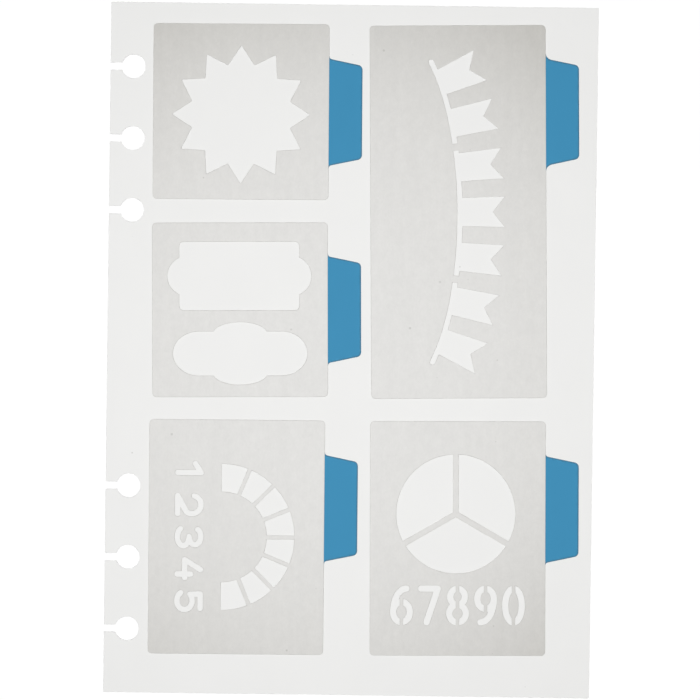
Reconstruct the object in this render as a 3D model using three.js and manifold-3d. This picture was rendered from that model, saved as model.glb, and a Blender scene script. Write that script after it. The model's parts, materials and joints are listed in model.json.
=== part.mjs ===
// Five steel stencil bookmarks, each with an index tab, stuck to a punched page for a ring binder.
// Millimetres. The origin is the middle of the page's back, +Y runs up the page and +Z faces the user.
import * as THREE from "three";
import { mergeVertices } from "three/addons/utils/BufferGeometryUtils.js";
import Module from "manifold-3d";

// Layers, from the page upwards
const PAGE_THICKNESS = 0.5;
const TAB_THICKNESS = 0.1;
const TAPE_THICKNESS = 0.05;
const PLATE_THICKNESS = 0.2;

// Ring slots in the page's left edge: a round head, and a narrower neck that snaps over the ring
const SLOTS_IN_GROUP = 3;
const SLOT_PITCH = 21.8;
const SLOT_GROUP_GAP = 83.8;
const SLOT_HEAD_DIAMETER = 7.2;
const SLOT_HEAD_INSET = 7;
const SLOT_NECK_WIDTH = 2.2;

// Layout of the page: two columns of plates, and the page that is left free round them
const PAGE_TOP_MARGIN = 6.1;
const PAGE_BOTTOM_MARGIN = 12.3;
const ROW_GAP = 6.95;
const SLOT_TO_PLATE = 2.65;
const TAB_TO_PLATE = 3.3;
const TAB_TO_PAGE_EDGE = 4.45;

// Plates: one width, and a height for each row
const PLATE_WIDTH = 53.4;
const PLATE_CORNER = 1.5;
const BURST_PLATE_HEIGHT = 53.3;
const LABEL_PLATE_HEIGHT = 53;
const TALL_PLATE_HEIGHT = 71.4;

// Index tab: a trapezoid outside the plate's right edge, and a flange taped behind it
const TAB_REACH = 10.1;
const TAB_BASE = 32.5;
const TAB_TAPER = 2.1;
const TAB_CORNER = 1.4;
const TAB_ROOT = 0.9;
const BANNER_TAB_ROOT = 2;
const FLANGE_SETBACK = 0.9;
const TAPE_BORDER = 0.4;

// From a plate's top down to its tab, which differs because the tabs are put on by hand
const TAB_DROP = { burst: 10.4, label: 10.25, tracker: 10.45, banner: 10.2, pie: 10.6 };

// Glue dots that hold a plate's corners to the page
const DOT_DIAMETER = 5;
const DOT_TO_EDGE = 1.5;
const DOT_TO_FLANGE = 0.5;

// Starburst
const BURST_POINTS = 12;
const BURST_RIM = 5.65;
const BURST_TOOTH = 5.6;
const BURST_LOWERED = 0.9;
const BURST_ROUNDING = 0.35;

// Two label frames: an oblong with a round lobe at each end, and an oval with a bump above and below
const LABEL_TOP_RIM = 5.8;
const LABEL_BOTTOM_RIM = 3.7;
const LABEL_WEB = 3.6;
const OBLONG_SIDE_RIM = 4.8;
const OBLONG_HEIGHT = 20.85;
const OBLONG_CORNER = 1.6;
const OBLONG_SHIFT = 0.2;
const LOBE_REACH = 3.65;
const LOBE_RADIUS = 6;
const OVAL_SIDE_RIM = 6.25;
const OVAL_END_LENGTH = 8;
const BUMP_RISE = 2.8;
const BUMP_LENGTH = 16.4;
const BUMP_DEPTH = 3.5;

// Tracker: half a ring in equal steps, beside a row of numerals turned a quarter
const TRACKER_STEPS = 8;
const TRACKER_BAND = 8.45;
const TRACKER_BAR = 1.2;
const TRACKER_RIGHT_RIM = 9;
const TRACKER_LEFT_RIM = 7.9;
const TRACKER_TO_NUMERALS = 5.4;
const TRACKER_NUMERAL_HEIGHT = 8.8;
const TRACKER_NUMERAL_WIDTH = 7.2;
const TRACKER_NUMERAL_END_RIM = 12.6;
const TRACKER_NUMERAL_STROKE = 1.7;

// Banner: a string on a flat curve that carries swallow-tailed flags, with two gaps in the string
const STRING_WIDTH = 1.6;
const STRING_OFFSET = 0.5;
const STRING_BOW = 19.2;
const STRING_HALF_AXIS = 54.75;
const STRING_TAIL = 6.9;
const STRING_GAP = 2.15;
const STRING_GAP_PLACE = 20.1;
const STRING_GAP_LOWERED = 0.35;
const FLAGS_EACH_SIDE = 3;
const FLAG_PITCH = 13.55;
const END_FLAG_PITCH = 12.75;
const FLAG_REACH = 13.6;
const FLAG_NOTCH = 3.65;
const FLAG_ROOT_WIDTH = 8.55;
const FLAG_TAIL_WIDTH = 9.3;
const END_FLAG_ROOT_WIDTH = 7.8;
const END_FLAG_TAIL_WIDTH = 10;
const END_FLAG_REACH = 13.25;
const END_FLAG_LEAN = 3.75;

// Pie in equal shares, above a row of numerals
const PIE_SHARES = 3;
const PIE_BAR = 1.7;
const PIE_TOP_RIM = 10.1;
const PIE_SHIFT = 0.6;
const PIE_TO_NUMERALS = 3.65;
const PIE_BOTTOM_RIM = 9.2;
const PIE_NUMERAL_HEIGHT = 12.2;
const PIE_NUMERAL_WIDTH = 7;
const PIE_NUMERAL_SIDE_RIM = 6.15;
const PIE_NUMERAL_STROKE = 1.95;
const NUMERAL_BRIDGE = 1;

// Offset and turn in degrees of each stencil from the grid, because they are stuck down by hand
const ASKEW = {
  burst: { x: -0.15, y: -0.1, turn: 0.33 },
  label: { x: 0.3, y: -0.2, turn: 0.83 },
  tracker: { x: 0.05, y: -0.2, turn: 0.23 },
  banner: { x: -0.55, y: 0.25, turn: 1.02 },
  pie: { x: 0.6, y: 0.25, turn: 0.62 },
};

// Fineness of round stretches
const ARC_STEP_DEGREES = 9;
const STROKE_END_STEP_DEGREES = 30;
const STRING_STEPS = 16;
const CORNER_STEPS = 4;

const PAGE_MATERIAL = new THREE.MeshStandardMaterial({ color: 0xeeeeed, roughness: 0.6 });
const STEEL = new THREE.MeshStandardMaterial({ color: 0xdededc, roughness: 0.35, metalness: 1 });
const TAB_MATERIAL = new THREE.MeshStandardMaterial({ color: 0x438fb8, roughness: 0.5 });
const TAPE_MATERIAL = new THREE.MeshStandardMaterial({ color: 0xf4f2ea, roughness: 0.8 });
const GLUE_MATERIAL = new THREE.MeshStandardMaterial({ color: 0xf0eee2, roughness: 0.3 });

const wasm = await Module();
wasm.setup();

const point = (x, y) => new THREE.Vector2(x, y);
const radians = THREE.MathUtils.degToRad;

// Points along an elliptical arc, from one angle to the other in degrees.
function arc(centreX, centreY, radiusX, radiusY, from, to, step = ARC_STEP_DEGREES) {
  const curve = new THREE.EllipseCurve(
    centreX, centreY, radiusX, radiusY, radians(from), radians(to), to < from,
  );
  return curve.getPoints(Math.ceil(Math.abs(to - from) / step));
}

function ellipse(centreX, centreY, radiusX, radiusY) {
  return arc(centreX, centreY, radiusX, radiusY, 0, 360).slice(0, -1);
}

function rectangle(left, bottom, right, top) {
  return [point(left, bottom), point(right, bottom), point(right, top), point(left, top)];
}

// The point that lies a distance from one point towards another.
function towards(from, to, distance) {
  return to.clone().sub(from).setLength(distance).add(from);
}

// An outline with each corner replaced by a curve of about the given radius.
function rounded(corners, radius) {
  return corners.flatMap((corner, i) => {
    const before = corners.at(i - 1);
    const after = corners[(i + 1) % corners.length];
    const halfAngle = before.clone().sub(corner).angleTo(after.clone().sub(corner)) / 2;
    const setback = radius / Math.tan(halfAngle);
    const arrive = towards(corner, before, setback);
    const leave = towards(corner, after, setback);
    return new THREE.QuadraticBezierCurve(arrive, corner, leave).getPoints(CORNER_STEPS);
  });
}

// Outline of a stroke of one width along a line of points, with round ends.
function stroke(line, width) {
  const radius = width / 2;
  const headings = line.map((_, i) => {
    const before = line[Math.max(i - 1, 0)];
    const after = line[Math.min(i + 1, line.length - 1)];
    return after.clone().sub(before).angle();
  });
  const side = (i, quarter) => {
    const angle = headings[i] + quarter;
    return point(Math.cos(angle), Math.sin(angle)).multiplyScalar(radius).add(line[i]);
  };
  const cap = (i, quarter) => {
    const from = THREE.MathUtils.radToDeg(headings[i]) + quarter;
    const end = arc(line[i].x, line[i].y, radius, radius, from, from - 180, STROKE_END_STEP_DEGREES);
    return end.slice(1, -1);
  };
  const last = line.length - 1;
  const leftSide = line.map((_, i) => side(i, Math.PI / 2));
  const rightSide = line.map((_, i) => side(i, -Math.PI / 2)).reverse();
  return [...leftSide, ...cap(last, 90), ...rightSide, ...cap(0, -90)];
}

// A bar from a centre outwards along an angle in degrees.
function bar(centre, angle, length, width) {
  const outline = rectangle(0, -width / 2, length, width / 2);
  return outline.map((corner) => corner.rotateAround(point(0, 0), radians(angle)).add(centre));
}

// A flat piece of one thickness with its back at z = 0.
function slab(outline, thickness) {
  return new THREE.ExtrudeGeometry(new THREE.Shape(outline), { depth: thickness, bevelEnabled: false });
}

function solidOf(geometry) {
  const bare = geometry.clone().deleteAttribute("normal").deleteAttribute("uv");
  const merged = mergeVertices(bare);
  const mesh = new wasm.Mesh({
    numProp: 3,
    vertProperties: merged.attributes.position.array,
    triVerts: new Uint32Array(merged.index.array),
  });
  return new wasm.Manifold(mesh);
}

function geometryOf(solid) {
  const mesh = solid.getMesh();
  const indexed = new THREE.BufferGeometry();
  indexed.setAttribute("position", new THREE.BufferAttribute(mesh.vertProperties, 3));
  indexed.setIndex(new THREE.BufferAttribute(mesh.triVerts, 1));
  const faceted = indexed.toNonIndexed();
  faceted.computeVertexNormals();
  return faceted;
}

// A flat piece with openings right through it. Bridges are the material that stays inside the openings.
function cutSlab(outline, thickness, { openings, bridges = [] }) {
  const through = (shape) => solidOf(slab(shape, 3 * thickness).translate(0, 0, -thickness));
  let waste = through(openings[0]);
  for (const shape of openings.slice(1)) {
    waste = waste.add(through(shape));
  }
  for (const shape of bridges) {
    waste = waste.subtract(through(shape));
  }
  return geometryOf(solidOf(slab(outline, thickness)).subtract(waste));
}

// Numerals, as the middle lines of their strokes in a box from (-x, -y) to (x, y), in shares of the box.
// A numeral that closes round some metal has a bridge: the lowest and highest point of an upright bar.
const NUMERALS = {
  1: (x, y) => ({ lines: [[point(0, y), point(0, -y)], [point(0, y), point(-x, y / 2)]] }),
  2: (x, y) => {
    const bowl = arc(0, y - x, x, x, 165, -40);
    const foot = point(-x, -y);
    return { lines: [bowl, [bowl.at(-1), foot], [foot, point(x, -y)]] };
  },
  3: (x, y) => ({
    lines: [arc(0, y / 2, 0.9 * x, y / 2, 150, -90), arc(0, -y / 2, x, y / 2, 90, -150)],
  }),
  4: (x, y) => {
    const elbow = point(-x, -0.35 * y);
    const stem = [point(0.6 * x, 0.15 * y), point(0.6 * x, -y)];
    return { lines: [[point(0.1 * x, y), elbow], [elbow, point(x, elbow.y)], stem] };
  },
  5: (x, y) => {
    const shoulder = point(-0.75 * x, y);
    const bowl = arc(0, -0.35 * y, x, 0.65 * y, 135, -150);
    return { lines: [[point(0.85 * x, y), shoulder], [shoulder, bowl[0]], bowl] };
  },
  6: (x, y) => ({
    lines: [
      arc(0.6 * x, -0.4 * y, 1.6 * x, 1.4 * y, 90, 180),
      arc(0, -0.4 * y, x, 0.6 * y, 90, 270),
      arc(0, -0.4 * y, x, 0.6 * y, -90, 90),
    ],
    bridge: [-y, 0.2 * y],
  }),
  7: (x, y) => ({ lines: [[point(-x, y), point(x, y)], [point(x, y), point(-0.35 * x, -y)]] }),
  8: (x, y) => ({
    lines: [
      arc(0, 0.52 * y, 0.88 * x, 0.48 * y, 90, 270),
      arc(0, 0.52 * y, 0.88 * x, 0.48 * y, -90, 90),
      arc(0, -0.48 * y, x, 0.52 * y, 90, 270),
      arc(0, -0.48 * y, x, 0.52 * y, -90, 90),
    ],
    bridge: [-y, y],
  }),
  9: (x, y) => {
    const six = NUMERALS[6](x, y);
    const turned = six.lines.map((line) => line.map((place) => place.clone().negate()));
    return { lines: turned, bridge: [-six.bridge[1], -six.bridge[0]] };
  },
  0: (x, y) => ({ lines: [arc(0, 0, x, y, 90, 270), arc(0, 0, x, y, -90, 90)], bridge: [-y, y] }),
};

// A row of numerals of a given length about a middle point, read along an angle in degrees.
function numeralRow(digits, middle, angle, { length, width, height, strokeWidth }) {
  const pitch = (length - width) / (digits.length - 1);
  const openings = [];
  const bridges = [];
  digits.forEach((digit, i) => {
    const across = (i - (digits.length - 1) / 2) * pitch;
    const place = (outline) =>
      outline.map((corner) => {
        const inRow = point(corner.x + across, corner.y);
        return inRow.rotateAround(point(0, 0), radians(angle)).add(middle);
      });
    const numeral = NUMERALS[digit]((width - strokeWidth) / 2, (height - strokeWidth) / 2);
    for (const line of numeral.lines) {
      openings.push(place(stroke(line, strokeWidth)));
    }
    if (numeral.bridge) {
      const [low, high] = numeral.bridge;
      const half = NUMERAL_BRIDGE / 2;
      bridges.push(place(rectangle(-half, low - strokeWidth, half, high + strokeWidth)));
    }
  });
  return { openings, bridges };
}

// Openings of each plate, about the plate's middle

function burstOpenings(height) {
  const tipRadius = Math.min(PLATE_WIDTH, height) / 2 - BURST_RIM;
  const corners = [];
  for (let i = 0; i < 2 * BURST_POINTS; i++) {
    const radius = i % 2 ? tipRadius - BURST_TOOTH : tipRadius;
    const angle = Math.PI / 2 + (i * Math.PI) / BURST_POINTS;
    corners.push(point(radius * Math.cos(angle), radius * Math.sin(angle) - BURST_LOWERED));
  }
  return { openings: [rounded(corners, BURST_ROUNDING)] };
}

function labelOpenings(height) {
  const oblongTop = height / 2 - LABEL_TOP_RIM;
  const oblongBottom = oblongTop - OBLONG_HEIGHT;
  const oblongMiddle = (oblongTop + oblongBottom) / 2;
  const lobeEnd = PLATE_WIDTH / 2 - OBLONG_SIDE_RIM;
  const oblongSide = lobeEnd - LOBE_REACH;
  const oblong = rectangle(
    -oblongSide - OBLONG_SHIFT, oblongBottom, oblongSide - OBLONG_SHIFT, oblongTop,
  );
  const lobe = (side) => {
    const centreX = side * (lobeEnd - LOBE_RADIUS) - OBLONG_SHIFT;
    return ellipse(centreX, oblongMiddle, LOBE_RADIUS, LOBE_RADIUS);
  };

  const bumpTop = oblongBottom - LABEL_WEB;
  const bumpBottom = LABEL_BOTTOM_RIM - height / 2;
  const ovalMiddle = (bumpTop + bumpBottom) / 2;
  const ovalHalfHeight = (bumpTop - bumpBottom) / 2 - BUMP_RISE;
  const ovalEnd = PLATE_WIDTH / 2 - OVAL_SIDE_RIM;
  const endCentre = ovalEnd - OVAL_END_LENGTH;
  const oval = [
    ...arc(endCentre, ovalMiddle, OVAL_END_LENGTH, ovalHalfHeight, -90, 90),
    ...arc(-endCentre, ovalMiddle, OVAL_END_LENGTH, ovalHalfHeight, 90, 270),
  ];
  const bump = (middle) => ellipse(0, middle, BUMP_LENGTH / 2, BUMP_DEPTH);
  return {
    openings: [
      rounded(oblong, OBLONG_CORNER), lobe(-1), lobe(1),
      oval, bump(bumpTop - BUMP_DEPTH), bump(bumpBottom + BUMP_DEPTH),
    ],
  };
}

function trackerOpenings(height) {
  const numeralMiddle = TRACKER_LEFT_RIM + TRACKER_NUMERAL_HEIGHT / 2 - PLATE_WIDTH / 2;
  const centre = point(numeralMiddle + TRACKER_NUMERAL_HEIGHT / 2 + TRACKER_TO_NUMERALS, 0);
  const radius = PLATE_WIDTH / 2 - TRACKER_RIGHT_RIM - centre.x;
  const innerRadius = radius - TRACKER_BAND;
  const halfRing = [
    ...arc(centre.x, centre.y, radius, radius, -90, 90),
    ...arc(centre.x, centre.y, innerRadius, innerRadius, 90, -90),
  ];
  const bars = [];
  for (let i = 1; i < TRACKER_STEPS; i++) {
    const angle = (180 * i) / TRACKER_STEPS - 90;
    bars.push(bar(centre, angle, radius + TRACKER_BAR, TRACKER_BAR));
  }
  const numerals = numeralRow([1, 2, 3, 4, 5], point(numeralMiddle, 0), -90, {
    length: height - 2 * TRACKER_NUMERAL_END_RIM,
    width: TRACKER_NUMERAL_WIDTH,
    height: TRACKER_NUMERAL_HEIGHT,
    strokeWidth: TRACKER_NUMERAL_STROKE,
  });
  return { openings: [halfRing, ...numerals.openings], bridges: [...bars, ...numerals.bridges] };
}

// A flag's outline, whose root lies on the string and whose tail has a notch.
function flag(root, angle, rootWidth, tailWidth, reach) {
  const outline = [
    point(0, -rootWidth / 2),
    point(reach, -tailWidth / 2),
    point(reach - FLAG_NOTCH, 0),
    point(reach, tailWidth / 2),
    point(0, rootWidth / 2),
  ];
  return outline.map((corner) => corner.rotateAround(point(0, 0), angle).add(root));
}

// The end flags sit closer, flare more and lean outwards, and the flags before them lean a little.
function bannerOpenings() {
  const endFlagPlace = (FLAGS_EACH_SIDE - 1) * FLAG_PITCH + END_FLAG_PITCH;
  const centreX = STRING_OFFSET - STRING_BOW;
  const quarter = new THREE.EllipseCurve(centreX, 0, STRING_BOW, STRING_HALF_AXIS, 0, Math.PI / 2);
  const angleAt = (distance) => (quarter.getUtoTmapping(0, distance) * Math.PI) / 2;
  const end = angleAt(endFlagPlace + STRING_TAIL);
  const string = new THREE.EllipseCurve(centreX, 0, STRING_BOW, STRING_HALF_AXIS, -end, end);
  const onString = (distance) => {
    const share = 0.5 + distance / string.getLength();
    const outward = string.getTangentAt(share).angle() - Math.PI / 2;
    return { place: string.getPointAt(share), outward };
  };
  const openings = [stroke(string.getPoints(STRING_STEPS), STRING_WIDTH)];
  for (let i = 1 - FLAGS_EACH_SIDE; i < FLAGS_EACH_SIDE; i++) {
    const { place, outward } = onString(i * FLAG_PITCH);
    const angle = outward + radians(END_FLAG_LEAN) * (i / FLAGS_EACH_SIDE) ** 3;
    openings.push(flag(place, angle, FLAG_ROOT_WIDTH, FLAG_TAIL_WIDTH, FLAG_REACH));
  }
  const bridges = [];
  for (const side of [-1, 1]) {
    const { place, outward } = onString(side * endFlagPlace);
    const angle = outward + side * radians(END_FLAG_LEAN);
    openings.push(flag(place, angle, END_FLAG_ROOT_WIDTH, END_FLAG_TAIL_WIDTH, END_FLAG_REACH));
    const gap = onString(side * STRING_GAP_PLACE - STRING_GAP_LOWERED);
    const start = point(-STRING_WIDTH, 0).rotateAround(point(0, 0), gap.outward).add(gap.place);
    bridges.push(bar(start, THREE.MathUtils.radToDeg(gap.outward), 2 * STRING_WIDTH, STRING_GAP));
  }
  return { openings, bridges };
}

function pieOpenings(height) {
  const pieTop = height / 2 - PIE_TOP_RIM;
  const numeralMiddle = PIE_BOTTOM_RIM + PIE_NUMERAL_HEIGHT / 2 - height / 2;
  const pieBottom = numeralMiddle + PIE_NUMERAL_HEIGHT / 2 + PIE_TO_NUMERALS;
  const radius = (pieTop - pieBottom) / 2;
  const centre = point(-PIE_SHIFT, pieTop - radius);
  const bars = [];
  for (let i = 0; i < PIE_SHARES; i++) {
    bars.push(bar(centre, 90 + (360 * i) / PIE_SHARES, radius + PIE_BAR, PIE_BAR));
  }
  const numerals = numeralRow([6, 7, 8, 9, 0], point(0, numeralMiddle), 0, {
    length: PLATE_WIDTH - 2 * PIE_NUMERAL_SIDE_RIM,
    width: PIE_NUMERAL_WIDTH,
    height: PIE_NUMERAL_HEIGHT,
    strokeWidth: PIE_NUMERAL_STROKE,
  });
  return {
    openings: [ellipse(centre.x, centre.y, radius, radius), ...numerals.openings],
    bridges: [...bars, ...numerals.bridges],
  };
}

// Grid of the page
const columnLefts = [SLOT_HEAD_INSET + SLOT_HEAD_DIAMETER / 2 + SLOT_TO_PLATE];
columnLefts.push(columnLefts[0] + PLATE_WIDTH + TAB_REACH + TAB_TO_PLATE);
const pageWidth = columnLefts[1] + PLATE_WIDTH + TAB_REACH + TAB_TO_PAGE_EDGE;
const labelTop = PAGE_TOP_MARGIN + BURST_PLATE_HEIGHT + ROW_GAP;
const tallTop = labelTop + LABEL_PLATE_HEIGHT + ROW_GAP;
const pageHeight = tallTop + TALL_PLATE_HEIGHT + PAGE_BOTTOM_MARGIN;
const bannerPlateHeight = BURST_PLATE_HEIGHT + ROW_GAP + LABEL_PLATE_HEIGHT;
const flangeDepth = OBLONG_SIDE_RIM - FLANGE_SETBACK;
const tapeTop = PAGE_THICKNESS + TAB_THICKNESS + TAPE_THICKNESS;

const STENCILS = [
  {
    name: "burst", column: 0, top: PAGE_TOP_MARGIN, height: BURST_PLATE_HEIGHT,
    openings: burstOpenings, tabRoot: TAB_ROOT,
  },
  {
    name: "label", column: 0, top: labelTop, height: LABEL_PLATE_HEIGHT,
    openings: labelOpenings, tabRoot: TAB_ROOT,
  },
  {
    name: "tracker", column: 0, top: tallTop, height: TALL_PLATE_HEIGHT,
    openings: trackerOpenings, tabRoot: TAB_ROOT,
  },
  {
    name: "banner", column: 1, top: PAGE_TOP_MARGIN, height: bannerPlateHeight,
    openings: bannerOpenings, tabRoot: BANNER_TAB_ROOT,
  },
  {
    name: "pie", column: 1, top: tallTop, height: TALL_PLATE_HEIGHT,
    openings: pieOpenings, tabRoot: TAB_ROOT,
  },
];

function piece(name, geometry, material, z) {
  const mesh = new THREE.Mesh(geometry, material);
  mesh.name = name;
  mesh.position.z = z;
  return mesh;
}

function pagePiece() {
  const outline = rectangle(-pageWidth / 2, -pageHeight / 2, pageWidth / 2, pageHeight / 2);
  const headX = SLOT_HEAD_INSET - pageWidth / 2;
  const openings = [];
  for (let i = 0; i < SLOTS_IN_GROUP; i++) {
    for (const side of [-1, 1]) {
      const y = side * (SLOT_GROUP_GAP / 2 + i * SLOT_PITCH);
      const neckHalf = SLOT_NECK_WIDTH / 2;
      openings.push(ellipse(headX, y, SLOT_HEAD_DIAMETER / 2, SLOT_HEAD_DIAMETER / 2));
      openings.push(rectangle(headX - 2 * SLOT_HEAD_INSET, y - neckHalf, headX, y + neckHalf));
    }
  }
  return piece("carrier_page", cutSlab(outline, PAGE_THICKNESS, { openings }), PAGE_MATERIAL, 0);
}

function platePiece({ name, height, openings }) {
  const corners = rectangle(-PLATE_WIDTH / 2, -height / 2, PLATE_WIDTH / 2, height / 2);
  const outline = rounded(corners, PLATE_CORNER);
  return piece(`${name}_plate`, cutSlab(outline, PLATE_THICKNESS, openings(height)), STEEL, tapeTop);
}

// The tab's flange lies behind the plate. Its root flares where it leaves the plate's edge.
function tabPiece({ name, height, tabRoot }) {
  const middle = height / 2 - TAB_DROP[name] - TAB_BASE / 2;
  const half = (side) => {
    const root = point(0, (side * TAB_BASE) / 2);
    const corner = point(TAB_REACH, side * (TAB_BASE / 2 - TAB_TAPER));
    const flared = point(0, root.y + side * tabRoot);
    const outer = point(TAB_REACH, corner.y - side * TAB_CORNER);
    const rootCurve = new THREE.QuadraticBezierCurve(flared, root, towards(root, corner, tabRoot));
    const cornerCurve = new THREE.QuadraticBezierCurve(towards(corner, root, TAB_CORNER), corner, outer);
    return [
      point(-flangeDepth, flared.y),
      ...rootCurve.getPoints(CORNER_STEPS),
      ...cornerCurve.getPoints(CORNER_STEPS),
    ];
  };
  const outline = [...half(-1), ...half(1).reverse()];
  const placed = outline.map((corner) => corner.add(point(PLATE_WIDTH / 2, middle)));
  return piece(`${name}_tab`, slab(placed, TAB_THICKNESS), TAB_MATERIAL, PAGE_THICKNESS);
}

function tapePiece({ name, height }) {
  const top = height / 2 - TAB_DROP[name] - TAPE_BORDER;
  const bottom = height / 2 - TAB_DROP[name] - TAB_BASE + TAPE_BORDER;
  const left = PLATE_WIDTH / 2 - flangeDepth + TAPE_BORDER;
  const outline = rectangle(left, bottom, PLATE_WIDTH / 2 - TAPE_BORDER, top);
  const z = PAGE_THICKNESS + TAB_THICKNESS;
  return piece(`${name}_tab_tape`, slab(outline, TAPE_THICKNESS), TAPE_MATERIAL, z);
}

function dotPieces({ name, height }) {
  const radius = DOT_DIAMETER / 2;
  const left = DOT_TO_EDGE + radius - PLATE_WIDTH / 2;
  const right = PLATE_WIDTH / 2 - flangeDepth - DOT_TO_FLANGE - radius;
  const top = height / 2 - DOT_TO_EDGE - radius;
  const dotHeight = TAB_THICKNESS + TAPE_THICKNESS;
  const corners = rectangle(left, -top, right, top);
  return corners.map((corner, i) => {
    const outline = ellipse(corner.x, corner.y, radius, radius);
    return piece(`${name}_glue_dot_${i + 1}`, slab(outline, dotHeight), GLUE_MATERIAL, PAGE_THICKNESS);
  });
}

function stencilGroup(stencil) {
  const group = new THREE.Group();
  const x = columnLefts[stencil.column] + PLATE_WIDTH / 2 - pageWidth / 2;
  const y = pageHeight / 2 - stencil.top - stencil.height / 2;
  const askew = ASKEW[stencil.name];
  group.position.set(x + askew.x, y + askew.y, 0);
  group.rotation.z = radians(askew.turn);
  group.add(platePiece(stencil), tabPiece(stencil), tapePiece(stencil), ...dotPieces(stencil));
  return group;
}

const stencilSet = new THREE.Group();
stencilSet.add(pagePiece(), ...STENCILS.map(stencilGroup));

export default stencilSet;
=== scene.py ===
"""Looks of five steel stencil bookmarks on their punched page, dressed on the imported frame, in metres."""
import json
import math

import bpy
import numpy as np
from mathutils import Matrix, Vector
from mathutils.geometry import delaunay_2d_cdt


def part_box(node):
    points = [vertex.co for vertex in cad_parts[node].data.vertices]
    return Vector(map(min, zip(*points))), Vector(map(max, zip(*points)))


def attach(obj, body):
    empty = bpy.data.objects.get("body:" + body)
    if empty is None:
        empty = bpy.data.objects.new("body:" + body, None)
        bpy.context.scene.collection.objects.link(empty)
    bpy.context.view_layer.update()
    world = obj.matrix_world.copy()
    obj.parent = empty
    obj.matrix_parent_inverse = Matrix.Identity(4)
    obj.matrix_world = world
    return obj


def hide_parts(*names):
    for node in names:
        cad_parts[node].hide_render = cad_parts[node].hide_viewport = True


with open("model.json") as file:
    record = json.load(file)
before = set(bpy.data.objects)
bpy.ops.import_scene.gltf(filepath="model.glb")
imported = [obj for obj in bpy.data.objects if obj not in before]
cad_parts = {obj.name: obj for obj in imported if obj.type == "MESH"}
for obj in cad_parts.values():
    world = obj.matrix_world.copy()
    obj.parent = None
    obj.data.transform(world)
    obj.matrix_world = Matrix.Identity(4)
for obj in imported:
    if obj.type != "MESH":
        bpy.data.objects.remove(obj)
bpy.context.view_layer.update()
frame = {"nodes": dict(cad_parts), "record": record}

MM = 0.001
STENCILS = ("burst", "label", "tracker", "banner", "pie")
DOTS_EACH = 4

# Camera, above the page
CAMERA_PLACE = (0.65 * MM, 7.12 * MM, 651 * MM)
CAMERA_TURN_DEGREES = (-0.61, 0.08, 0.76)
LENS = 110
SENSOR = 36

# Edges of the pieces
PAGE_ROUNDING = 0.08 * MM
PLATE_ROUNDING = 0.09 * MM
TAB_ROUNDING = 0.025 * MM
TAB_BORDER = 0.55 * MM
TAPE_ROUNDING = 0.01 * MM
DOT_ROUNDING = 0.04 * MM
ROUNDING_STEPS = 3
BORDER_MARK = "border"
TAPE_TEETH = 7
TAPE_TOOTH_DEPTH = 0.3 * MM
DOT_UNEVENNESS = 0.05

# How a faceted outline is read: sharp corners, straight edges, and round stretches that get finer steps
CORNER_DEGREES = 35
STRAIGHT_RATIO = 2.5
FINE_STEP_DEGREES = 2.5
SHORTEST_STEP = 0.08 * MM
SAME_POINT = 0.01 * MM
SAME_VERTEX = SAME_POINT / 1000

# Limits in the making of the meshes
SHARPEST_MITRE = 0.2
FILL_TOLERANCE = 1e-10

# Colours, as they look
PAGE_COLOUR = (239, 239, 238)
STEEL_COLOUR = (223, 222, 221)
# painted shade: a darker steel colour laid on the plates' rounded cut edges, standing in for their shaded rim
RIM_SHADE_COLOUR = (206, 205, 202)
TAB_COLOUR = (64, 141, 182)
# painted shade: a darker blue laid along the tab's border, standing in for the shade at its edges
TAB_BORDER_SHADE_COLOUR = (70, 114, 136)
TAPE_COLOUR = (244, 242, 234)
GLUE_COLOUR = (240, 238, 226)
SPECK_COLOUR = (150, 148, 143)

# How upright the surface is on a flat face and on a cut edge, between which the painted rim shade fades in
FACE_UPRIGHT = 0.99
EDGE_UPRIGHT = 0.85

# Lamps and surroundings
SOFTBOX_SIZE = 0.348
SOFTBOX_PLACE = (-0.013, -0.009, 0.3)
SOFTBOX_POWER = 0.213
SOFTBOX_COLOUR = (0.91, 0.94, 1)
FILL_SIZE = 0.36
FILL_PLACE = (-0.006, -0.002, 0.7)
FILL_POWER = 4.67
KEY_SIZE = 1
KEY_PLACE = (-1.2, -0.5, 1.1)
KEY_POWER = 0.5
ROOM_COLOURS = (
    (0, (0.82, 0.82, 0.82)),
    (0.3, (0.82, 0.82, 0.82)),
    (0.7, (0.68, 0.68, 0.67)),
    (0.84, (0.6, 0.582, 0.53)),
    (0.96, (0.47, 0.453, 0.4)),
)
ROOM_SHARE = 0.12
FLOOR_SIDE = 12
FLOOR_DROP = 0.2 * MM
FLOOR_SHADED = 0.22
FLOOR_GLOW = 0.81
FLOOR_BOUNCE = 0.5


def linear(colour):
    """A colour in 8-bit sRGB as linear RGBA."""
    shares = [value / 255 for value in colour]
    channels = [s / 12.92 if s <= 0.04045 else ((s + 0.055) / 1.055) ** 2.4 for s in shares]
    return (*channels, 1)


# Outlines of flat pieces

def outlines(node):
    """Closed loops of points round the top face of a flat node: its outline and its openings."""
    mesh = frame["nodes"][node].data
    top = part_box(node)[1].z - SAME_POINT
    keys = [tuple(round(c / SAME_VERTEX) for c in v.co.xy) for v in mesh.vertices]
    places = {key: v.co.xy.copy() for key, v in zip(keys, mesh.vertices)}
    edges = set()
    for face in mesh.polygons:
        if all(mesh.vertices[i].co.z > top for i in face.vertices):
            corners = [keys[i] for i in face.vertices]
            edges.update(zip(corners, corners[1:] + corners[:1]))
    following = {a: b for a, b in edges if (b, a) not in edges}
    loops = []
    while following:
        start, place = following.popitem()
        loop = [start]
        while place != start:
            loop.append(place)
            place = following.pop(place)
        loops.append(without_repeats([places[key] for key in loop]))
    return loops


def without_repeats(loop):
    """The loop without points that lie on the one before."""
    return [p for i, p in enumerate(loop) if (p - loop[i - 1]).length > SAME_POINT]


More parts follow.
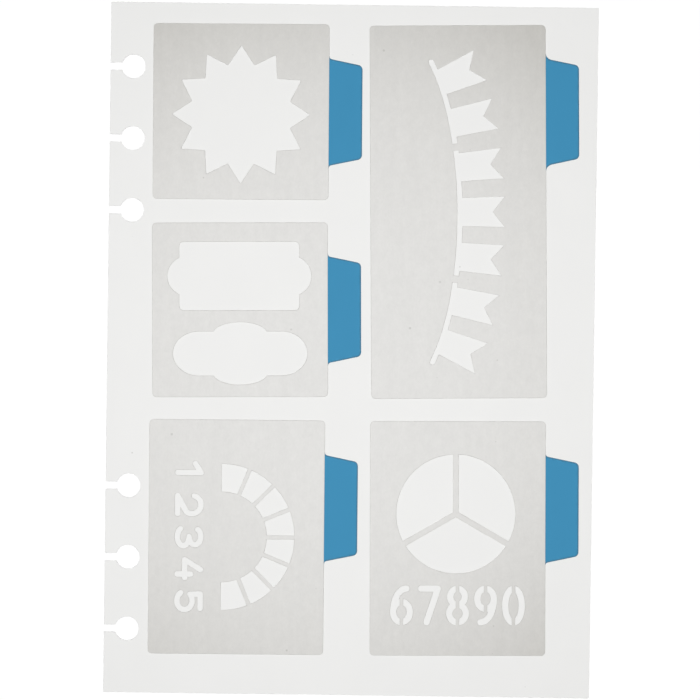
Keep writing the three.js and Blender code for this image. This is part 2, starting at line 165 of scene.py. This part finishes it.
def tangent(before, here, after):
    """Heading of a smooth outline at a point, or None at a corner."""
    arrive = here - before
    leave = after - here
    if math.degrees(abs(arrive.angle_signed(leave))) > CORNER_DEGREES:
        return None
    if arrive.length > STRAIGHT_RATIO * leave.length:
        return arrive.normalized()
    if leave.length > STRAIGHT_RATIO * arrive.length:
        return leave.normalized()
    return (arrive.normalized() * leave.length + leave.normalized() * arrive.length).normalized()


def smooth(loop):
    """The loop with its round stretches drawn in finer steps, and its straight edges and corners kept."""
    count = len(loop)
    headings = [tangent(loop[i - 1], loop[i], loop[(i + 1) % count]) for i in range(count)]
    fine = []
    for i, start in enumerate(loop):
        end = loop[(i + 1) % count]
        chord = end - start
        leave = headings[i] or chord.normalized()
        arrive = headings[(i + 1) % count] or chord.normalized()
        turn = abs(leave.angle_signed(chord)) + abs(chord.angle_signed(arrive))
        wanted = math.ceil(math.degrees(turn) / FINE_STEP_DEGREES)
        steps = max(1, min(wanted, int(chord.length / SHORTEST_STEP)))
        for step in range(steps):
            fine.append(hermite(start, end, leave * chord.length, arrive * chord.length, step / steps))
    return fine


def hermite(start, end, leave, arrive, share):
    """The point at a share of a cubic curve between two points with given tangents."""
    square = share * share
    cube = square * share
    return (
        (2 * cube - 3 * square + 1) * start + (cube - 2 * square + share) * leave
        + (3 * square - 2 * cube) * end + (cube - square) * arrive
    )


def serrated(loop):
    """A tape's outline whose two short ends are torn off on teeth."""
    torn = []
    for i, start in enumerate(loop):
        end = loop[(i + 1) % len(loop)]
        torn.append(start)
        if (end - start).length > (loop[i - 1] - start).length:
            continue
        inward = (end - start).normalized().orthogonal() * TAPE_TOOTH_DEPTH
        for tooth in range(1, 2 * TAPE_TEETH):
            place = start.lerp(end, tooth / (2 * TAPE_TEETH))
            torn.append(place + inward if tooth % 2 else place)
    return torn


def uneven(loop, seed):
    """A dot's outline, drawn in a little where the glue spread less."""
    middle = sum(loop, Vector((0, 0))) / len(loop)
    shape = []
    for place in loop:
        angle = (place - middle).angle_signed(Vector((1, 0)))
        swell = 2 + math.sin(2 * angle + 1.7 * seed) + math.sin(3 * angle + 2.9 * seed)
        shape.append(middle.lerp(place, 1 - DOT_UNEVENNESS * swell / 4))
    return shape


# Meshes of flat pieces

def inset_directions(loop):
    """For each point, the step into the material that moves both its edges in by one unit."""
    directions = []
    for i, here in enumerate(loop):
        arrive = (here - loop[i - 1]).normalized().orthogonal()
        leave = (loop[(i + 1) % len(loop)] - here).normalized().orthogonal()
        directions.append((arrive + leave) / max(1 + arrive.dot(leave), SHARPEST_MITRE))
    return directions


def turn_at(loop, i):
    """How far the loop turns at a point, in radians."""
    arrive = loop[i] - loop[i - 1]
    leave = loop[(i + 1) % len(loop)] - loop[i]
    return abs(arrive.angle_signed(leave))


def roomy(loop, inset):
    """The loop without the points whose edges would run backwards once they are moved in."""
    loop = list(loop)
    i = 0
    while i < len(loop):
        after = (i + 1) % len(loop)
        inward = inset_directions(loop)
        edge = loop[after] - loop[i]
        moved = edge + (inward[after] - inward[i]) * inset
        if edge.dot(moved) > 0:
            i += 1
            continue
        del loop[i if turn_at(loop, i) < turn_at(loop, after) else after]
        i = max(i - 2, 0)
    return loop


def filled(loops):
    """Triangles, as point numbers, that fill an outline round its openings."""
    points = [p for loop in loops for p in loop]
    edges = []
    for loop in loops:
        first = len(edges)
        edges += [(first + i, first + (i + 1) % len(loop)) for i in range(len(loop))]
    _, _, triangles, origins, _, _ = delaunay_2d_cdt(points, edges, [], 0, FILL_TOLERANCE)
    triangles = np.array([[origins[i][0] for i in corners] for corners in triangles])
    flat = np.array(points)
    middles = flat[triangles].mean(axis=1)
    start = flat[[a for a, _ in edges]]
    end = flat[[b for _, b in edges]]
    inside = np.zeros(len(middles), bool)
    for a, b in zip(start, end):
        spans = (a[1] > middles[:, 1]) != (b[1] > middles[:, 1])
        rise = b[1] - a[1] or 1
        crossing = a[0] + (middles[:, 1] - a[1]) * (b[0] - a[0]) / rise
        inside ^= spans & (middles[:, 0] < crossing)
    return triangles[inside].tolist()


def filled_inside(loops, points, inward, inset):
    """Triangles that fill the loops once their points are moved in."""
    moved = [p + d * inset for p, d in zip(points, inward)]
    starts = np.cumsum([0] + [len(loop) for loop in loops])
    return filled([moved[a:b] for a, b in zip(starts, starts[1:])])


def edge_levels(bottom, top, rounding, border):
    """Insets and heights of the rings of points, up round the edge and in to the border's inner line."""
    rings = []
    for step in range(ROUNDING_STEPS + 1):
        angle = math.pi / 2 * step / ROUNDING_STEPS
        rings.append((rounding * (1 - math.sin(angle)), rounding * (1 - math.cos(angle))))
    levels = [(inset, bottom + rise) for inset, rise in rings]
    levels += [(inset, top - rise) for inset, rise in reversed(rings)]
    if border:
        levels.append((rounding + border, top))
    return levels


def wall_faces(loops, bands):
    """Four-sided faces that join each ring of points to the next, in a number of bands."""
    count = sum(len(loop) for loop in loops)
    walls = []
    for band in range(bands):
        first = band * count
        for loop in loops:
            for i in range(len(loop)):
                a = first + i
                b = first + (i + 1) % len(loop)
                walls.append((a, b, b + count, a + count))
            first += len(loop)
    return walls


def sheet_mesh(name, loops, bottom, top, rounding, border=0):
    """A flat closed mesh between two heights with its edges rounded, and a border marked round its top."""
    loops = [roomy(loop, rounding + border) for loop in loops]
    points = [p for loop in loops for p in loop]
    inward = [d for loop in loops for d in inset_directions(loop)]
    levels = edge_levels(bottom, top, rounding, border)
    vertices = [(*(p + d * inset), z) for inset, z in levels for p, d in zip(points, inward)]

    count = len(points)
    bands = len(levels) - 1
    upper = bands * count
    walls = wall_faces(loops, bands)
    below = filled_inside(loops, points, inward, levels[0][0])
    above = filled_inside(loops, points, inward, levels[-1][0])
    faces = walls + [(c, b, a) for a, b, c in below]
    faces += [(a + upper, b + upper, c + upper) for a, b, c in above]

    mesh = bpy.data.meshes.new(name)
    mesh.from_pydata(vertices, [], faces)
    mesh.set_sharp_from_angle(angle=math.radians(CORNER_DEGREES))
    mesh.polygons.foreach_set("use_smooth", [i < len(walls) for i in range(len(faces))])
    edge = mesh.attributes.new(BORDER_MARK, "FLOAT", "POINT")
    edge.data.foreach_set("value", [float(count <= i < upper) for i in range(len(vertices))])
    return mesh


BODY_OF = {
    node: body
    for body, members in frame["record"]["behaviour"]["bodies"].items()
    for node in members
}


def dress(node, loops, rounding, material, border=0):
    """Stands a finely made piece in the place of a flat node."""
    low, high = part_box(node)
    name = f"{node}_finished"
    piece = bpy.data.objects.new(name, sheet_mesh(name, loops, low.z, high.z, rounding, border))
    bpy.context.scene.collection.objects.link(piece)
    piece.data.materials.append(material)
    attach(piece, BODY_OF[node])
    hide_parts(node)


# Materials

def add(tree, kind, inputs=None, **settings):
    """A new shader node with its settings, and its inputs set to values or linked to outputs."""
    node = tree.nodes.new(kind)
    for name, value in settings.items():
        setattr(node, name, value)
    for key, value in (inputs or {}).items():
        if isinstance(value, bpy.types.NodeSocket):
            tree.links.new(value, node.inputs[key])
        else:
            node.inputs[key].default_value = value
    return node


def new_material(name, **constants):
    """A material with a Principled shader whose named inputs are set, and the place on the page in metres."""
    material = bpy.data.materials.new(name)
    material.use_nodes = True
    tree = material.node_tree
    shader = tree.nodes["Principled BSDF"]
    for key, value in constants.items():
        shader.inputs[key.replace("_", " ")].default_value = value
    place = add(tree, "ShaderNodeTexCoord").outputs["Object"]
    return material, tree, shader, place


def grain(tree, place, across, along, detail=2):
    """Noise from 0 to 1 in streaks of a given width and length."""
    scale = (1 / across, 1 / along, 1 / across)
    stretched = add(tree, "ShaderNodeMapping", {"Vector": place, "Scale": scale})
    noise = add(tree, "ShaderNodeTexNoise", {"Vector": stretched.outputs[0], "Scale": 1, "Detail": detail})
    return noise.outputs["Fac"]


def specks(tree, place, spacing, share, radius):
    """1 on small round specks, one in a share of the cells of a given spacing, and 0 elsewhere."""
    cells = add(
        tree, "ShaderNodeTexVoronoi", {"Vector": place, "Scale": 1 / spacing}, voronoi_dimensions="2D"
    )
    chance = add(tree, "ShaderNodeSeparateColor", {"Color": cells.outputs["Color"]}).outputs[0]
    size = add(
        tree, "ShaderNodeMapRange",
        {"Value": chance, "From Min": 1 - share, "From Max": 1, "To Min": 0, "To Max": radius / spacing},
    ).outputs[0]
    distance = cells.outputs["Distance"]
    depth = add(tree, "ShaderNodeMath", {0: size, 1: distance}, operation="SUBTRACT").outputs[0]
    return add(
        tree, "ShaderNodeMapRange",
        {"Value": depth, "From Min": 0, "From Max": radius / spacing / 2, "To Min": 0, "To Max": 1},
    ).outputs[0]


def spread(tree, value, low, high):
    """A 0 to 1 value as one between two limits."""
    return add(tree, "ShaderNodeMapRange", {"Value": value, "To Min": low, "To Max": high}).outputs[0]


def product(tree, first, second):
    """Two values multiplied."""
    return add(tree, "ShaderNodeMath", {0: first, 1: second}, operation="MULTIPLY").outputs[0]


def tinted(tree, colour, level):
    """A colour made lighter or darker by a varying level about 1."""
    mix = add(tree, "ShaderNodeMix", data_type="RGBA", blend_type="MULTIPLY")
    mix.inputs["Factor"].default_value = 1
    mix.inputs["A"].default_value = linear(colour)
    tree.links.new(level, mix.inputs["B"])
    return mix.outputs["Result"]


def overlaid(tree, base, colour, mask):
    """A base colour with another one laid over it where the mask is 1."""
    mix = add(tree, "ShaderNodeMix", data_type="RGBA")
    tree.links.new(mask, mix.inputs["Factor"])
    tree.links.new(base, mix.inputs["A"])
    mix.inputs["B"].default_value = linear(colour)
    return mix.outputs["Result"]


def rim_shade_mask(tree):
    """1 on the rounded edges and the walls of a flat piece, where the painted rim shade goes, and 0 on its
    two faces.
    """
    normal = add(tree, "ShaderNodeTexCoord").outputs["Normal"]
    upright = add(tree, "ShaderNodeSeparateXYZ", {"Vector": normal}).outputs["Z"]
    flatness = add(tree, "ShaderNodeMath", {0: upright}, operation="ABSOLUTE").outputs[0]
    return add(
        tree, "ShaderNodeMapRange",
        {"Value": flatness, "From Min": FACE_UPRIGHT, "From Max": EDGE_UPRIGHT, "To Min": 0, "To Max": 1},
    ).outputs[0]


def bump(tree, height, depth):
    """A normal for a 0 to 1 height that stands up to a depth."""
    node = add(tree, "ShaderNodeBump", {"Height": height, "Distance": depth, "Strength": 1})
    return node.outputs["Normal"]


def page_material():
    """Frosted plastic film: a fine emboss, faint cloudiness and a few dust specks."""
    material, tree, shader, place = new_material("frosted_page", IOR=1.49)
    cloud = spread(tree, grain(tree, place, 14 * MM, 18 * MM), 0.985, 1.015)
    emboss = grain(tree, place, 0.25 * MM, 0.25 * MM)
    level = product(tree, cloud, spread(tree, emboss, 0.99, 1.01))
    dust = product(tree, specks(tree, place, 11 * MM, 0.12, 0.32 * MM), spread(tree, emboss, 0.2, 0.5))
    colour = overlaid(tree, tinted(tree, PAGE_COLOUR, level), SPECK_COLOUR, dust)
    tree.links.new(colour, shader.inputs["Base Color"])
    tree.links.new(spread(tree, emboss, 0.5, 0.66), shader.inputs["Roughness"])
    tree.links.new(bump(tree, emboss, 0.01 * MM), shader.inputs["Normal"])
    return material


def steel_material():
    """Brushed stainless steel: streaks along the plate, faint mottling, small pits, and painted shade on its
    rounded cut edges.
    """
    material, tree, shader, place = new_material("brushed_steel", Metallic=1)
    fine = grain(tree, place, 0.14 * MM, 5 * MM)
    bands = grain(tree, place, 2.5 * MM, 40 * MM)
    speckle = grain(tree, place, 0.6 * MM, 0.9 * MM)
    mottle = grain(tree, place, 1.7 * MM, 2.4 * MM)
    cloud = grain(tree, place, 6 * MM, 9 * MM)
    level = product(tree, spread(tree, fine, 0.98, 1.02), spread(tree, bands, 0.98, 1.02))
    level = product(tree, level, spread(tree, speckle, 0.965, 1.035))
    level = product(tree, level, spread(tree, mottle, 0.96, 1.04))
    level = product(tree, level, spread(tree, cloud, 0.97, 1.03))
    pits = product(tree, specks(tree, place, 9 * MM, 0.12, 0.5 * MM), spread(tree, mottle, 0.1, 0.5))
    colour = overlaid(tree, tinted(tree, STEEL_COLOUR, level), SPECK_COLOUR, pits)
    # painted shade darkens the rounded cut edges of the plate
    colour = overlaid(tree, colour, RIM_SHADE_COLOUR, rim_shade_mask(tree))
    tree.links.new(colour, shader.inputs["Base Color"])
    roughness = product(tree, spread(tree, fine, 0.29, 0.37), spread(tree, cloud, 0.9, 1.1))
    tree.links.new(roughness, shader.inputs["Roughness"])
    tree.links.new(bump(tree, fine, 0.002 * MM), shader.inputs["Normal"])
    return material


def tab_material():
    """Dyed plastic with a fine matt emboss, and painted shade along its die-cut border."""
    material, tree, shader, place = new_material("blue_tab", IOR=1.49, Specular_IOR_Level=0.2)
    emboss = grain(tree, place, 0.2 * MM, 0.2 * MM)
    cloud = grain(tree, place, 6 * MM, 9 * MM)
    level = product(tree, spread(tree, emboss, 0.97, 1.03), spread(tree, cloud, 0.98, 1.02))
    border = add(tree, "ShaderNodeAttribute", attribute_name=BORDER_MARK).outputs["Fac"]
    # painted shade: the border ring of the tab gets the darker blue
    colour = overlaid(tree, tinted(tree, TAB_COLOUR, level), TAB_BORDER_SHADE_COLOUR, border)
    tree.links.new(colour, shader.inputs["Base Color"])
    tree.links.new(spread(tree, emboss, 0.45, 0.6), shader.inputs["Roughness"])
    tree.links.new(bump(tree, emboss, 0.008 * MM), shader.inputs["Normal"])
    return material


def tape_material():
    """Double-sided tape: paper fibres in a pale glue."""
    material, tree, shader, place = new_material("tape", IOR=1.45)
    fibres = grain(tree, place, 0.12 * MM, 1.2 * MM, detail=4)
    tree.links.new(tinted(tree, TAPE_COLOUR, spread(tree, fibres, 0.88, 1.06)), shader.inputs["Base Color"])
    tree.links.new(spread(tree, fibres, 0.4, 0.7), shader.inputs["Roughness"])
    tree.links.new(bump(tree, fibres, 0.01 * MM), shader.inputs["Normal"])
    return material


def glue_material():
    """Removable glue, milky, with small bubbles."""
    material, tree, shader, place = new_material("milky_glue", IOR=1.46)
    bubbles = specks(tree, place, 0.7 * MM, 0.5, 0.2 * MM)
    ripple = grain(tree, place, 0.9 * MM, 0.9 * MM)
    level = product(tree, spread(tree, ripple, 0.95, 1.03), spread(tree, bubbles, 1, 0.85))
    tree.links.new(tinted(tree, GLUE_COLOUR, level), shader.inputs["Base Color"])
    tree.links.new(spread(tree, ripple, 0.08, 0.2), shader.inputs["Roughness"])
    tree.links.new(bump(tree, ripple, 0.05 * MM), shader.inputs["Normal"])
    return material


# Pieces

PAGE = page_material()
STEEL = steel_material()
TAB = tab_material()
TAPE = tape_material()
GLUE = glue_material()


def dress_page():
    """The punched page."""
    page = "carrier_page"
    dress(page, [smooth(loop) for loop in outlines(page)], PAGE_ROUNDING, PAGE)


def dress_plate(stencil):
    """A stencil's steel plate with its openings."""
    plate = f"{stencil}_plate"
    dress(plate, [smooth(loop) for loop in outlines(plate)], PLATE_ROUNDING, STEEL)


def dress_tab(stencil):
    """A stencil's index tab."""
    tab = f"{stencil}_tab"
    dress(tab, [smooth(loop) for loop in outlines(tab)], TAB_ROUNDING, TAB, TAB_BORDER)


def dress_tape(stencil):
    """The tape between a stencil's tab and its plate."""
    tape = f"{stencil}_tab_tape"
    dress(tape, [serrated(loop) for loop in outlines(tape)], TAPE_ROUNDING, TAPE)


def dress_dots(stencil, first_seed):
    """The glue dots below a stencil, each of its own shape."""
    for i in range(DOTS_EACH):
        dot = f"{stencil}_glue_dot_{i + 1}"
        dress(dot, [uneven(smooth(loop), first_seed + i) for loop in outlines(dot)], DOT_ROUNDING, GLUE)


dress_page()
for number, stencil in enumerate(STENCILS):
    dress_plate(stencil)
    dress_tab(stencil)
    dress_tape(stencil)
    dress_dots(stencil, number * DOTS_EACH)


# Studio

def seen_directly(tree):
    """1 for what the camera sees, in a mirror or through glass too, and 0 for what only lights the object."""
    path = add(tree, "ShaderNodeLightPath")
    seen = path.outputs["Is Camera Ray"]
    for ray in ("Is Glossy Ray", "Is Transmission Ray"):
        seen = add(tree, "ShaderNodeMath", {0: seen, 1: path.outputs[ray]}, operation="MAXIMUM").outputs[0]
    return seen


def add_floor():
    """A white floor that shows as white and keeps the object's shadow."""
    half = FLOOR_SIDE / 2
    mesh = bpy.data.meshes.new("floor")
    corners = [(-half, -half), (half, -half), (half, half), (-half, half)]
    mesh.from_pydata([(x, y, -FLOOR_DROP) for x, y in corners], [], [(0, 1, 2, 3)])
    floor = bpy.data.objects.new("floor", mesh)
    bpy.context.scene.collection.objects.link(floor)

    material = bpy.data.materials.new("white_floor")
    material.use_nodes = True
    tree = material.node_tree
    tree.nodes.remove(tree.nodes["Principled BSDF"])
    glow = spread(tree, seen_directly(tree), FLOOR_BOUNCE, FLOOR_GLOW)
    emission = add(tree, "ShaderNodeEmission", {"Strength": glow})
    shaded = add(tree, "ShaderNodeBsdfDiffuse", {"Color": (FLOOR_SHADED, FLOOR_SHADED, FLOOR_SHADED, 1)})
    both = add(tree, "ShaderNodeAddShader", {0: emission.outputs[0], 1: shaded.outputs[0]})
    tree.links.new(both.outputs[0], tree.nodes["Material Output"].inputs["Surface"])
    mesh.materials.append(material)


def add_lamp(name, place, target, size, power, colour=(1, 1, 1), matt=True, mirrored=True):
    """A round soft lamp, unseen itself, that faces a point and lights matt surfaces, shiny ones or both."""
    light = bpy.data.lights.new(name, "AREA")
    light.shape = "DISK"
    light.size = size
    light.energy = power
    light.color = colour
    lamp = bpy.data.objects.new(name, light)
    lamp.location = place
    lamp.rotation_euler = (Vector(target) - Vector(place)).to_track_quat("-Z", "Y").to_euler()
    lamp.visible_camera = False
    lamp.visible_diffuse = matt
    lamp.visible_glossy = mirrored
    bpy.context.scene.collection.objects.link(lamp)


def add_surroundings():
    """A room, as pale as the far floor low down and dimmer overhead, that lights less than it shows."""
    world = bpy.data.worlds.new("room")
    world.use_nodes = True
    tree = world.node_tree
    direction = add(tree, "ShaderNodeTexCoord").outputs["Generated"]
    height = add(tree, "ShaderNodeSeparateXYZ", {"Vector": direction}).outputs["Z"]
    ramp = add(tree, "ShaderNodeValToRGB", {"Fac": height})
    ramp.color_ramp.interpolation = "EASE"
    stops = ramp.color_ramp.elements
    while len(stops) < len(ROOM_COLOURS):
        stops.new(1)
    for stop, (place, colour) in zip(stops, ROOM_COLOURS):
        stop.position = place
        stop.color = (*colour, 1)
    background = tree.nodes["Background"]
    tree.links.new(ramp.outputs["Color"], background.inputs["Color"])
    tree.links.new(spread(tree, seen_directly(tree), ROOM_SHARE, 1), background.inputs["Strength"])
    bpy.context.scene.world = world


def add_camera():
    """A long lens above the page, tilted a little, with the page turned a little in the frame."""
    camera = bpy.data.cameras.new("camera")
    camera.lens = LENS
    camera.sensor_width = SENSOR
    stand = bpy.data.objects.new("camera", camera)
    stand.location = CAMERA_PLACE
    stand.rotation_euler = [math.radians(turn) for turn in CAMERA_TURN_DEGREES]
    bpy.context.scene.collection.objects.link(stand)
    bpy.context.scene.camera = stand


add_floor()
add_lamp(
    "softbox", SOFTBOX_PLACE, (*SOFTBOX_PLACE[:2], 0), SOFTBOX_SIZE, SOFTBOX_POWER, SOFTBOX_COLOUR, matt=False
)
add_lamp("fill", FILL_PLACE, (*FILL_PLACE[:2], 0), FILL_SIZE, FILL_POWER, mirrored=False)
add_lamp("key", KEY_PLACE, (0, 0, 0), KEY_SIZE, KEY_POWER)
add_surroundings()
add_camera()
bpy.context.scene.view_settings.view_transform = "Standard"
